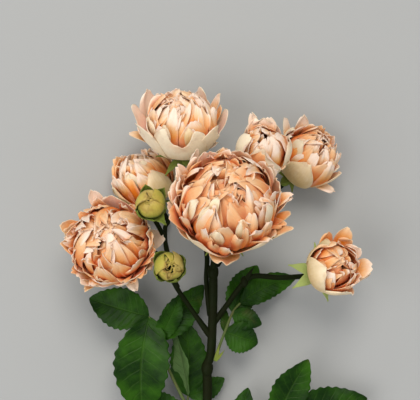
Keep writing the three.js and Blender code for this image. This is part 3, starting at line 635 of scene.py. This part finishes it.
def finish_piece(mesh, name, nodes, materials, thickness=0.0):
    """Makes a mesh a piece, with a wall if it has a thickness, smoothed and hung on the root body; the CAD
    parts it stands for are hidden.
    """
    data = bpy.data.meshes.new(name)
    mesh.to_mesh(data)
    mesh.free()
    data.shade_smooth()
    for material in materials:
        data.materials.append(material)
    piece = bpy.data.objects.new(name, data)
    bpy.context.scene.collection.objects.link(piece)
    if thickness:
        wall = piece.modifiers.new("wall", "SOLIDIFY")
        wall.thickness = thickness * MM
        wall.offset = 0
        wall.material_offset = len(materials) - 1
    smooth = piece.modifiers.new("smooth", "SUBSURF")
    smooth.levels = SMOOTHING
    smooth.render_levels = SMOOTHING
    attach(piece, "root")
    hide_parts(*nodes)


# ---- petals

# Degrees of latitude at which petals and sepals leave the back of a flower.
RING_FOOT = -50
BUD_FOOT = -75
GUARD_FOOT = -80
BUD_SEPAL_FOOT = -86
# The ball of the largest bloom; the looseness of petals is given for it.
LARGEST_BALL = 24
# How deep under the crown the painted shade of a hollow starts and how much deeper it is darkest, as shares of
# the radius.
HOLLOW_START = 0.1
HOLLOW_REACH = 0.42
RAGGED_TIP = 0.06
NOTCH_WIDTH = 0.25


def upper_half(up):
    """0 up to the middle of a petal, then rising to 1 at its tip."""
    return max(0.0, (up - 0.5) / 0.5)


def shell_line(radius, low, high, flare=0.0):
    """Up the outside of the ball from latitude low to latitude high, the lip rolled out by flare."""
    def line(up):
        latitude = math.radians(lerp(low, high, up))
        roll = flare * upper_half(up) ** 2
        return radius * math.cos(latitude) + roll, radius * FLATTENING * math.sin(latitude)
    return line


def blade_line(foot, belly, tip):
    """A bent line through three points, each given as distance out and height."""
    def line(up):
        first, second, third = (1 - up) ** 2, 2 * up * (1 - up), up * up
        return tuple(first * a + second * b + third * c for a, b, c in zip(foot, belly, tip))
    return line


def petal_outline(up, point):
    """Width from root to tip as a share of the widest; point is 0 for a round tip and 1 for a sharp one."""
    swell = 0.34 + 0.66 * math.sin(min(up / 0.6, 1) * math.pi / 2)
    taper = max(0.0, (up - 0.45) / 0.55)
    return swell * math.sqrt(1 - (0.95 * taper) ** (3.2 - 1.8 * point))


def sepal_outline(up, point=0.0):
    """Width from root to tip of a sepal or scale, which is always pointed."""
    return max(0.1, math.sin(math.pi * (0.25 + 0.75 * up)) ** 1.2)


class Sheets:
    """Thin curved sheets gathered in one mesh, in a flower's own frame."""

    def __init__(self, flower, crown=0.0):
        self.flower = flower
        self.crown = crown
        self.mesh = new_mesh("shade", "tone")
        self.shade = self.mesh.verts.layers.float["shade"]
        self.tone = self.mesh.verts.layers.float["tone"]

    def depth(self, x, y, z):
        """How far a point lies under the flower's crown, 0 on it and 1 in its hollows, for the painted shade
        there.
        """
        if not self.crown:
            return 0.0
        radius = self.flower["ball"]
        dome = self.crown * math.sqrt(max(0.05, 1 - (x * x + y * y) / (1.05 * radius) ** 2))
        return clamp((dome - z) / (HOLLOW_REACH * radius) - HOLLOW_START)

    def put(self, vert, x, y, z, tone):
        # The shade layer holds painted shade for the hollows plus the flower's warmth.
        vert[self.shade] = self.depth(x, y, z) + self.flower.get("warm", 0)
        vert[self.tone] = tone
        vert.co = (x, y, z)

    def add(
        self, line, half_width, turn, middle=(0.0, 0.0), bend=0.0, lip=0.0, ruffle=0.3, waves=1.4, phase=0.0,
        corner=0.07, notch=0.0, tuck=0.0, twist=0.0, lean=0.0, skew=0.0, wave=0.0, wrinkle=0.5, crease=0.0,
        tone=0.5, columns=8, rows=9, point=0.3, outline=petal_outline,
    ):
        """One petal along a line, turned about the middle given.

        Across its width it curves to the radius bend, with one side lifted by tuck and its middle sunk by
        crease. It ripples by ruffle in so many waves, its sides by wave, and is uneven by wrinkle. The tip
        rolls out by lip, is dented by notch and pushed aside by lean, skew and twist. The corners of the
        tip are lower than its middle by corner, or stand up where that is below 0.
        """
        for vert in uv_grid(self.mesh, columns, rows):
            across, up = vert.co.x, 0.5 + vert.co.y / 2
            rough = noise.noise(Vector((across * 1.8 + phase, up * 1.6, 3 * phase)))
            jag = noise.noise(Vector((across * 4 + phase, 7.0, phase)))
            dent = notch * up ** 6 * math.exp(-(across / NOTCH_WIDTH) ** 2)
            height = up * (1 - corner * (across ** 2 if corner > 0 else across ** 4))
            height += skew * across * up ** 3 + RAGGED_TIP * jag * up ** 5 - dent
            out, z = line(height)
            ahead = Vector(line(height + 0.01)) - Vector(line(height - 0.01))
            ahead.normalize()
            width = half_width * outline(up, point)
            roll = lip if corner > 0 else lip * (0.1 + 1.6 * across ** 4)
            lift = ruffle * math.sin(math.pi * waves * across + phase) * up ** 2.5
            lift += wrinkle * rough * up + roll * upper_half(up) ** 2 + tuck * across
            lift += wave * math.sin(9 * up + 2 * phase + math.copysign(1.5, across)) * abs(across) ** 3 * up
            lift -= crease * (1 - abs(across)) * up
            side = across * width
            if bend:
                side = bend * math.sin(across * width / bend)
                lift -= bend * (1 - math.cos(across * width / bend))
            out += lift * ahead.y
            z -= lift * ahead.x
            side += lean * up * up
            angle = turn + twist * up
            x = middle[0] + out * math.cos(angle) - side * math.sin(angle)
            y = middle[1] + out * math.sin(angle) + side * math.cos(angle)
            self.put(vert, x, y, z, tone)

    def free(self, at, latitude, distance, half, point, curl, tone, draw):
        """A petal that stands clear of the ball, its tip at the given latitude and distance (in radii)."""
        radius = self.flower["radius"]

        def place(share, degrees):
            angle = math.radians(degrees)
            return share * radius * math.cos(angle), share * radius * FLATTENING * math.sin(angle)

        foot = place(0.92, latitude - 50)
        belly = place(lerp(1.2, distance, 0.4), latitude - 16)
        self.add(
            blade_line(foot, belly, place(distance, latitude)), half, math.radians(at),
            bend=2.2 * half, lip=curl, ruffle=draw.uniform(0.3, 0.8), waves=draw.uniform(1, 2),
            phase=draw.uniform(0, TAU), lean=draw.uniform(-1.5, 1.5), wrinkle=1.0,
            crease=draw.uniform(-0.8, 0.8), point=point, tone=tone, columns=9, rows=12,
        )

    def finish(self, name, nodes, materials, thickness=0.0):
        self.mesh.transform(self.flower["place"])
        for vert in self.mesh.verts:
            vert.co.z = max(vert.co.z, FLOOR_CLEARANCE * MM)
        finish_piece(self.mesh, name, nodes, materials, thickness)


# ---- blooms


def guard_petal(name, flower, number, draw):
    at, half, reach, flare, layer, corner, tone = flower["guards"][number]
    radius = flower["ball"] + 1.4 + 1.6 * layer
    sheets = Sheets(flower)
    sheets.add(
        shell_line(radius, GUARD_FOOT, reach, flare), half, math.radians(at), bend=radius, tuck=0.5,
        corner=corner, lip=draw.uniform(0.2, 1.6), ruffle=draw.uniform(0.4, 0.9), waves=draw.uniform(1.2, 2.2),
        wrinkle=1.0, phase=draw.uniform(0, TAU), notch=draw.uniform(0, 0.05), lean=draw.uniform(-2, 2),
        wave=0.6, skew=draw.uniform(-0.06, 0.06), tone=tone, columns=12, rows=14,
        point=draw.uniform(0.1, 0.4) if corner > 0 else -0.6,
    )
    node = f"{name}_guard_petal_{number + 1}"
    sheets.finish(node, [node], GUARD_FACES, GUARD_THICKNESS)


def ring_petals(sheets, ring, order, draw):
    """Overlapping ragged petals all round the ball."""
    count, size, reach, half, flare, point, tilt = ring
    radius = sheets.flower["ball"]
    loose = radius / LARGEST_BALL
    for i in range(count):
        at = TAU * (i + 0.5 * (order % 2)) / count + draw.uniform(-0.3, 0.3)
        shell = radius * size * draw.uniform(0.94, 1.03)
        wide = radius * half * draw.choice((0.65, 0.8, 1.0, 1.2, 1.5))
        tip = reach + draw.uniform(-15, 15)
        line = shell_line(shell, RING_FOOT, tip, radius * flare * draw.uniform(0, 1.8))
        stray = loose * (4.6 if reach < 60 else 8)
        sheets.add(
            line, wide, at, bend=draw.choice((shell, 1.3 * wide, 2.0 * wide)),
            tuck=loose * tilt * draw.uniform(0.3, 1.4), lip=loose * draw.choice((-1, 0.5, 1.5, 3, 4)),
            ruffle=loose * draw.uniform(0.3, 1.1), waves=draw.uniform(1, 2.6), phase=draw.uniform(0, TAU),
            notch=draw.uniform(-0.05, 0.06), twist=draw.uniform(-0.08, 0.08) * stray,
            lean=draw.uniform(-stray, stray), crease=loose * draw.uniform(-1.4, 1.0), wrinkle=1.7 * loose,
            skew=draw.uniform(-0.1, 0.1), wave=loose * draw.uniform(0.2, 1.0),
            point=clamp(point + draw.uniform(-0.5, 0.35)), tone=draw.uniform(0, 1),
        )


def fin_petals(sheets, draw):
    """Loose narrow petals that stand at all angles in the heart."""
    radius = sheets.flower["ball"]
    count, near, far = sheets.flower["fins"]
    for i in range(count):
        at = TAU * i / count + draw.uniform(-0.3, 0.3)
        reach = radius * draw.uniform(near, far)
        top = sheets.crown * math.sqrt(1 - (reach / radius) ** 2) + radius * draw.uniform(-0.04, 0.08)
        middle = (reach * math.cos(at), reach * math.sin(at))
        wide = radius * draw.uniform(0.13, 0.22)
        sheets.add(
            blade_line((0.5, 0.05 * radius), (1.5, 0.6 * top), (draw.uniform(-2.5, 1), top)),
            wide, at + draw.uniform(-1.5, 1.5), middle=middle, bend=wide * draw.uniform(0.8, 2),
            lip=radius * draw.uniform(0.02, 0.16), ruffle=draw.uniform(0.2, 0.6), waves=draw.uniform(1, 2.5),
            phase=draw.uniform(0, TAU), notch=draw.uniform(0, 0.1), twist=draw.uniform(-0.3, 0.3),
            crease=draw.uniform(-0.5, 0.8), point=draw.uniform(0.1, 0.8), tone=draw.uniform(0, 1),
        )


def make_bloom(name, seed):
    flower = FLOWERS[name]
    draw = random.Random(seed)
    crown = flower["crown"] * flower["ball"]
    node = [heart_node(name)]
    for number in range(len(flower["guards"])):
        guard_petal(name, flower, number, draw)
    parts = {"outer": flower["rings"][:2], "middle": flower["rings"][2:4], "heart": flower["rings"][4:]}
    for part, rings in parts.items():
        sheets = Sheets(flower, crown)
        for order, ring in enumerate(rings):
            ring_petals(sheets, ring, order, draw)
        if part == "heart":
            fin_petals(sheets, draw)
        sheets.finish(f"{name}_{part}_petals", node, PETAL_FACES, PETAL_THICKNESS)
    loose = Sheets(flower)
    for petal in flower["free"]:
        loose.free(*petal, draw)
    loose.finish(f"{name}_loose_petals", node, GUARD_FACES, PETAL_THICKNESS)
    make_calyx(name, draw)


# ---- calyx and buds

# The hip's outline from its foot up: distance out as a share of its radius, and height (mm).
HIP_PROFILE = [(0, -HIP_LENGTH), (0.5, -HIP_LENGTH), (0.8, -4.8), (1, -3), (0.92, -1.2), (0.8, 0), (0, 0)]
SEPAL_TURNS = (18, 90, 162, 234, 306)
SEPAL_HALF = 2.4
SEPAL_TONE = 0.1
BUD_SEPAL_HALF = 4.8
BUD_WRAPS = 9
MOST_CRUMPLES = 24


def make_hip(name):
    """The rounded green cup under a flower, closed at both ends."""
    flower = FLOWERS[name]
    radius, top = flower["hip"], -hip_depth(name)
    rows = len(HIP_PROFILE) - 1
    hip = Sheets(flower)
    grid = uv_grid(hip.mesh, 16, rows)
    for vert in grid:
        angle = math.pi * (1 + vert.co.x)
        out, z = HIP_PROFILE[round((0.5 + vert.co.y / 2) * rows)]
        vert.co = (out * radius * math.cos(angle), out * radius * math.sin(angle), top + z)
    bmesh.ops.remove_doubles(hip.mesh, verts=grid, dist=SEAM_GAP)
    hip.finish(f"{name}_hip", [calyx_node(name)], [calyx_skin])


def make_calyx(name, draw):
    """The hip of an open bloom and its sepals, spread under the petals."""
    flower = FLOWERS[name]
    make_hip(name)
    top = -hip_depth(name)
    sepals = Sheets(flower)
    length = flower["sepal"]
    for at in flower.get("sepal_turns", SEPAL_TURNS):
        droop = draw.uniform(1.5, 3.5)
        line = blade_line((1.2, top - 0.4), (0.5 * length, top + 0.8), (length + 1.2, top - droop))
        sepals.add(
            line, flower.get("sepal_half", SEPAL_HALF), math.radians(at), ruffle=0, outline=sepal_outline,
            corner=0, columns=4, rows=12, tone=flower.get("sepal_tone", SEPAL_TONE),
        )
    sepals.finish(f"{name}_sepals", [calyx_node(name)], [calyx_skin], SEPAL_THICKNESS)


def make_bud(name, seed):
    """A closed bud: petals wrapped round it, a few crumpled in its middle, and sepals that hug it."""
    flower = FLOWERS[name]
    draw = random.Random(seed)
    radius = flower["radius"]
    petals = Sheets(flower, 0.98 * radius)
    for i in range(BUD_WRAPS):
        size = radius * (1.08 - 0.03 * i)
        reach = flower["closing"] + draw.uniform(-5, 12)
        petals.add(
            shell_line(size, BUD_FOOT, reach, draw.uniform(0, 0.8)), 1.05 * size, 2.4 * i, bend=size, tuck=0.45,
            lip=draw.uniform(-0.3, 0.9), ruffle=0.25, wrinkle=0.7, twist=draw.uniform(0.2, 0.7),
            phase=draw.uniform(0, TAU), tone=draw.uniform(0, 1), point=draw.uniform(0.2, 0.7), corner=0.16,
            skew=draw.uniform(-0.06, 0.06),
        )
    for i in range(flower["crumple"]):
        out = radius * lerp(0.12, 0.58, i / MOST_CRUMPLES)
        top = math.sqrt(radius ** 2 - out ** 2)
        middle = (out * math.cos(1.05 * i), out * math.sin(1.05 * i))
        petals.add(
            blade_line((0.5, 0), (1.5, 0.6 * radius), (draw.uniform(-1, 0.4), top)), 2.5, 1.05 * i + 0.5,
            middle=middle, bend=2.6, lip=draw.uniform(0, 1.2), phase=draw.uniform(0, TAU),
            tone=draw.uniform(0, 0.7),
        )
    petals.finish(f"{name}_petals", [heart_node(name)], BUD_FACES, PETAL_THICKNESS)
    make_hip(name)
    sepals = Sheets(flower)
    for at, reach, flare in flower["sepals"]:
        sepals.add(
            shell_line(radius + 1.2, BUD_SEPAL_FOOT, reach, flare), BUD_SEPAL_HALF, math.radians(at),
            bend=radius + 1, ruffle=0.2, tuck=0.3, outline=sepal_outline, corner=0, columns=6, rows=12,
            lean=draw.uniform(-1, 1), tone=0.0,
        )
    sepals.finish(f"{name}_sepals", [calyx_node(name)], [calyx_skin], SEPAL_THICKNESS)


# ---- stem


def smooth_route(points, steps):
    """Points along a smooth curve through the given ones."""
    knots = [Vector(p) for p in points]
    knots = [2 * knots[0] - knots[1], *knots, 2 * knots[-1] - knots[-2]]
    route = []
    for a, b, c, d in zip(knots, knots[1:], knots[2:], knots[3:]):
        for i in range(steps):
            t = i / steps
            square = (2 * a - 5 * b + 4 * c - d) * t * t
            cube = (3 * b - a - 3 * c + d) * t ** 3
            route.append(0.5 * (2 * b + (c - a) * t + square + cube))
    route.append(knots[-2])
    return route


def add_rod(mesh, points, radius_at, sides=14, steps=8, slant=0.0):
    """A closed round rod along a smooth route; radius_at takes 0 at its foot to 1 at its tip."""
    cut = mesh.verts.layers.float["cut"]
    route = smooth_route(points, steps)
    route = [route[0], *route, route[-1]]
    rows = len(route) - 1
    grid = uv_grid(mesh, sides, rows, rows / 4)
    for vert in grid:
        row = round((0.5 + vert.co.y / 2) * rows)
        angle = math.pi * (1 + vert.co.x)
        ahead = (route[min(row + 1, rows)] - route[max(row - 1, 0)]).normalized()
        side = Vector((0, 0, 1)).cross(ahead).normalized()
        top = ahead.cross(side)
        radius = 0 if row in (0, rows) else radius_at(clamp((row - 1) / (rows - 2)))
        offset = side * math.cos(angle) + top * math.sin(angle)
        place = route[row] + offset * radius
        if row <= 1 and slant:
            place += ahead * (-slant * (place - route[row]).dot(top))
            vert[cut] = 1.0
        vert.co = place
    bmesh.ops.remove_doubles(mesh, verts=grid, dist=SEAM_GAP)


def add_fork(mesh, at, radius):
    """The swelling where branches part, longer along the stem."""
    ball = bmesh.ops.create_uvsphere(mesh, u_segments=16, v_segments=10, radius=radius)["verts"]
    bmesh.ops.scale(mesh, vec=(1, 1.5, 1), verts=ball)
    bmesh.ops.translate(mesh, vec=at, verts=ball)


def add_scale(mesh, base, tip, half):
    """A small smooth pointed scale, folded a little along its middle."""
    start, run = Vector(base), Vector(tip) - Vector(base)
    side = run.cross(Vector((0, 0, 1))).normalized()
    normal = side.cross(run).normalized()
    for vert in uv_grid(mesh, 4, 10):
        across, up = vert.co.x, 0.5 + vert.co.y / 2
        width = half * sepal_outline(up)
        lift = 0.3 * abs(across) * width + 2 * up * (1 - up)
        vert.co = start + run * up + side * across * width + normal * lift


def make_scales(name, node, scales, skin):
    mesh = new_mesh()
    for scale in scales:
        add_scale(mesh, *scale)
    mesh.transform(SPRAY_PLACE)
    finish_piece(mesh, name, [node], [skin], SEPAL_THICKNESS)


def stalk_points(name):
    """A flower's stalk, from its fork to just inside the foot of its hip."""
    flower = FLOWERS[name]
    forward = Vector(flower["facing"]).normalized()
    centre = (flower["middle"] - SPRAY_ORIGIN) / MM
    back = hip_depth(name) + HIP_LENGTH
    return [*STALKS[name][1], centre - forward * (back + 5), centre - forward * (back - 0.8)]


def stalk_radius(thickness):
    """Swollen a little at the foot of a stalk and more under its flower."""
    return lambda t: thickness * (1 + 0.25 * (1 - min(1, 6 * t)) + 0.35 * max(0, 5 * t - 4))


def make_stem():
    mesh = new_mesh("cut")
    add_rod(mesh, TRUNK, lambda t: STEM_RADIUS * (1.02 - 0.1 * t), 20, 12, slant=CUT_SLANT)
    add_rod(mesh, LEFT_BRANCH, lambda t: BRANCH_RADIUS - 0.6 * min(1, 4 * t))
    for name, (thickness, _) in STALKS.items():
        add_rod(mesh, stalk_points(name), stalk_radius(thickness))
    for fork in FORKS:
        add_fork(mesh, *fork)
    mesh.transform(SPRAY_PLACE)
    finish_piece(mesh, "stem", ["stem"], [stem_skin_and_shade])
    make_scales("bract", "stem", [BRACT], stem_skin_and_shade)


# ---- leaves

TEETH = 10
ROWS_PER_TOOTH = 3
TOOTH_DEPTH = 0.15
SIDE_VEINS = 9
SIDE_VEIN_SLANT = 1.5


def leaflet_outline(up):
    """Width from stalk to tip as a share of the widest, with saw teeth."""
    body = math.sin(math.pi * min(1.0, up ** 0.85)) ** 0.72
    row = round(up * TEETH * ROWS_PER_TOOTH)
    tooth = (row % ROWS_PER_TOOTH) / (ROWS_PER_TOOTH - 1)
    return max(0.03, body * (0.91 + TOOTH_DEPTH * tooth))


def add_leaflet(mesh, base, tip, half, roll, arch, fold, draw):
    """A toothed blade, arched, folded along its midrib, quilted between its veins and wavy at its edge."""
    start, run = Vector(base), Vector(tip) - Vector(base)
    ahead = run.normalized()
    normal = Vector((0, 0, 1)) - ahead * ahead.z
    normal = Matrix.Rotation(math.radians(roll), 3, ahead) @ normal.normalized()
    side = ahead.cross(normal)
    bow, wave, phase = draw.uniform(-0.07, 0.07), draw.uniform(0.6, 1.5), draw.uniform(0, TAU)
    for vert in uv_grid(mesh, 12, TEETH * ROWS_PER_TOOTH):
        across, up = vert.co.x, 0.5 + vert.co.y / 2
        width = half * leaflet_outline(up)
        edge = abs(across)
        ribs = math.sin(TAU * (SIDE_VEINS * up - SIDE_VEIN_SLANT * edge))
        quilt = 0.22 * ribs * math.sin(math.pi * edge) * min(1, width / 5)
        lift = 4 * arch * up * (1 - up) + fold * edge ** 1.2 * width + quilt
        lift += wave * math.sin(3.5 * math.pi * up + phase + 2 * across) * edge ** 2 * min(1, width / 5)
        slide = bow * run.length * math.sin(math.pi * up)
        vert.co = start + run * up + side * (across * width + slide) + normal * lift


def make_leaf(name, seed):
    leaf = LEAVES[name]
    draw = random.Random(seed)
    blades = new_mesh()
    for on, tip, half, roll, arch, fold in leaf["leaflets"]:
        add_leaflet(blades, leaf["route"][on], tip, half, roll, arch, fold, draw)
    blades.transform(SPRAY_PLACE)
    finish_piece(blades, f"{name}_blades", [name], LEAF_FACES, LEAF_THICKNESS)
    if name == "leaf_middle":
        make_scales(f"{name}_stipules", name, STIPULES, calyx_skin)
    stalk = new_mesh("cut")
    add_rod(stalk, leaf["route"], lambda t: PETIOLE_RADIUS * (1.25 - 0.45 * t), 10, 8)
    stalk.transform(SPRAY_PLACE)
    finish_piece(stalk, f"{name}_stalk", [name], [petiole_skin])


# ---- making everything

BLOOM_SEED = 11
BUD_SEED = 31
LEAF_SEED = 41

make_stem()
for number, name in enumerate(BLOOMS):
    make_bloom(name, BLOOM_SEED + number)
for number, name in enumerate(BUDS):
    make_bud(name, BUD_SEED + number)
for number, name in enumerate(LEAVES):
    make_leaf(name, LEAF_SEED + number)

# ---- floor, light and camera, in metres

FLOOR_HALF = 3.0
SENSOR_WIDTH = 36
CAMERA_HEIGHT = 0.945
VIEW_WIDTH = 0.21
VIEW_DISTANCE = 0.9
VIEW_OFFSET = (-0.009, 0.002)
LIGHT_AIM_HEIGHT = 0.04
KEY_LIGHT = dict(place=(0.1, 1.05, 1.75), size=1.1, power=23, colour=(1.0, 0.965, 0.9))
FILL_LIGHT = dict(place=(-0.9, -0.3, 1.4), size=1.4, power=13, colour=(1.0, 0.98, 0.95))
SKY_COLOUR = (0.93, 0.96, 1.0, 1)
SKY_STRENGTH = 0.62

heart_low, heart_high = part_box("centre_bloom_heart")
heart = (Vector(heart_low) + Vector(heart_high)) / 2
view_x = heart.x + VIEW_OFFSET[0]
view_y = heart.y + VIEW_OFFSET[1]


def area_light(name, place, size, power, colour):
    """A soft round light at a place measured from the flowers and turned to them."""
    lamp = bpy.data.lights.new(name, "AREA")
    lamp.shape = "DISK"
    lamp.size = size
    lamp.energy = power
    lamp.color = colour
    holder = bpy.data.objects.new(name, lamp)
    bpy.context.scene.collection.objects.link(holder)
    target = Vector((view_x, view_y, LIGHT_AIM_HEIGHT))
    holder.location = target + Vector(place)
    holder.rotation_mode = "QUATERNION"
    holder.rotation_quaternion = (target - holder.location).to_track_quat("-Z", "Y")


floor_mesh = bmesh.new()
bmesh.ops.create_grid(floor_mesh, x_segments=2, y_segments=2, size=FLOOR_HALF)
floor_data = bpy.data.meshes.new("floor")
floor_mesh.to_mesh(floor_data)
floor_mesh.free()
floor_data.materials.append(floor_finish())
floor = bpy.data.objects.new("floor", floor_data)
bpy.context.scene.collection.objects.link(floor)

area_light("key_light", **KEY_LIGHT)
area_light("fill_light", **FILL_LIGHT)

world = bpy.data.worlds.new("studio")
world.use_nodes = True
sky = world.node_tree.nodes["Background"]
sky.inputs["Color"].default_value = SKY_COLOUR
sky.inputs["Strength"].default_value = SKY_STRENGTH
bpy.context.scene.world = world
bpy.context.scene.view_settings.view_transform = "Standard"

camera_data = bpy.data.cameras.new("camera")
camera_data.sensor_width = SENSOR_WIDTH
camera_data.lens = camera_data.sensor_width * VIEW_DISTANCE / VIEW_WIDTH
camera = bpy.data.objects.new("camera", camera_data)
camera.location = (view_x, view_y, CAMERA_HEIGHT)
bpy.context.scene.collection.objects.link(camera)
bpy.context.scene.camera = camera
